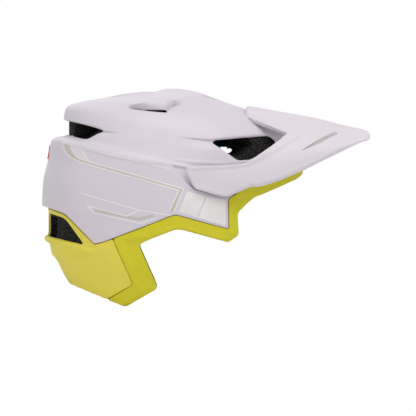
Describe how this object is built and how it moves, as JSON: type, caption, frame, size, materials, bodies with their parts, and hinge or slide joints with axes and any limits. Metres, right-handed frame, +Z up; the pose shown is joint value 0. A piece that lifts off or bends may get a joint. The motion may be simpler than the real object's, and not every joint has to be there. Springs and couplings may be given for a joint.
{
  "type": "open face bike helmet",
  "caption": "Open-face trail helmet with a tilting visor, wrapped lower trim, slip liner, pads, dial-adjusted cradle and folded-in straps.",
  "frame": {"origin": "centre of the head opening at brow height, on the plane of symmetry", "axes": "+X forward towards the visor, +Y to the wearer's left, +Z up"},
  "size_m": [0.3612, 0.221, 0.2368],
  "materials": {
    "lilac_shell": "satin lilac paint over polycarbonate",
    "lilac_visor": "satin lilac plastic",
    "bright_yellow": "matte bright yellow plastic",
    "pale_yellow": "matte pale yellow plastic",
    "black_foam": "beaded foam with a fine speckle",
    "teal_film": "smooth slip film",
    "black_rubber": "dull rubber",
    "red_reflector": "clear red over prisms",
    "pad_fabric": "brushed knit over foam",
    "webbing": "woven polyester",
    "grey_nylon": "moulded nylon",
    "black_gloss": "moulded acetal",
    "black_nylon": "moulded nylon"
  },
  "bodies": {
    "helmet": {"outer_shell": "lilac_shell", "lower_trim": "bright_yellow", "rear_cover": "pale_yellow", "foam_liner": "black_foam", "slip_liner": "teal_film", "slip_anchors": "black_rubber", "rear_reflector": "red_reflector", "visor_socket_left": "grey_nylon", "visor_socket_right": "grey_nylon", "brow_pad": "pad_fabric", "crown_pad": "pad_fabric", "crown_pad_left": "pad_fabric", "crown_pad_right": "pad_fabric", "ear_pad_left": "pad_fabric", "ear_pad_right": "pad_fabric", "nape_pad": "pad_fabric", "strip_guide": "black_nylon", "strap_anchor_left": "black_nylon", "strap_anchor_right": "black_nylon"},
    "visor": {"visor": "lilac_visor", "visor_pin_left": "black_nylon", "visor_pin_right": "black_nylon", "visor_washer_left": "black_rubber", "visor_washer_right": "black_rubber"},
    "cradle": {"height_strip": "black_nylon", "dial_housing": "black_nylon", "occipital_cradle": "black_nylon"},
    "dial": {"dial_knob": "black_gloss", "dial_pinion": "grey_nylon"},
    "left_belt": {"belt_left": "black_nylon"},
    "right_belt": {"belt_right": "black_nylon"},
    "left_strap": {"strap_left": "webbing", "strap_divider_left": "black_gloss", "strap_keeper_left": "black_rubber", "buckle_socket": "black_gloss"},
    "right_strap": {"strap_right": "webbing", "strap_divider_right": "black_gloss", "strap_keeper_right": "black_rubber", "buckle_plug": "black_gloss", "chin_pad": "pad_fabric"}
  },
  "joints": [
    {"name": "visor_tilt", "type": "hinge", "parent": "helmet", "child": "visor", "pos_m": [0.0385, 0, 0.033], "axis": [0, -1, 0], "range_deg": [0, 20]},
    {"name": "cradle_height", "type": "slide", "parent": "helmet", "child": "cradle", "axis": [0, 0, 1], "range_m": [-0.01, 0.008]},
    {"name": "dial_spin", "type": "hinge", "parent": "cradle", "child": "dial", "pos_m": [-0.0988, 0, -0.038], "axis": [1, 0, 0], "range_deg": [0, 137.6]},
    {"name": "left_belt_slide", "type": "slide", "parent": "cradle", "child": "left_belt", "axis": [0, -1, 0], "range_m": [0, 0.012]},
    {"name": "right_belt_slide", "type": "slide", "parent": "cradle", "child": "right_belt", "axis": [0, 1, 0], "range_m": [0, 0.012]},
    {"name": "left_strap_swing", "type": "hinge", "parent": "helmet", "child": "left_strap", "pos_m": [0.009, 0.063, -0.008], "axis": [1, 0, 0], "range_deg": [0, 175]},
    {"name": "right_strap_swing", "type": "hinge", "parent": "helmet", "child": "right_strap", "pos_m": [0.009, -0.063, -0.008], "axis": [-1, 0, 0], "range_deg": [0, 175]}
  ],
  "couplings": [
    {"joint": "dial_spin", "follows": "left_belt_slide", "rad_per_m": 200},
    {"joint": "right_belt_slide", "follows": "left_belt_slide", "ratio": 1}
  ]
}
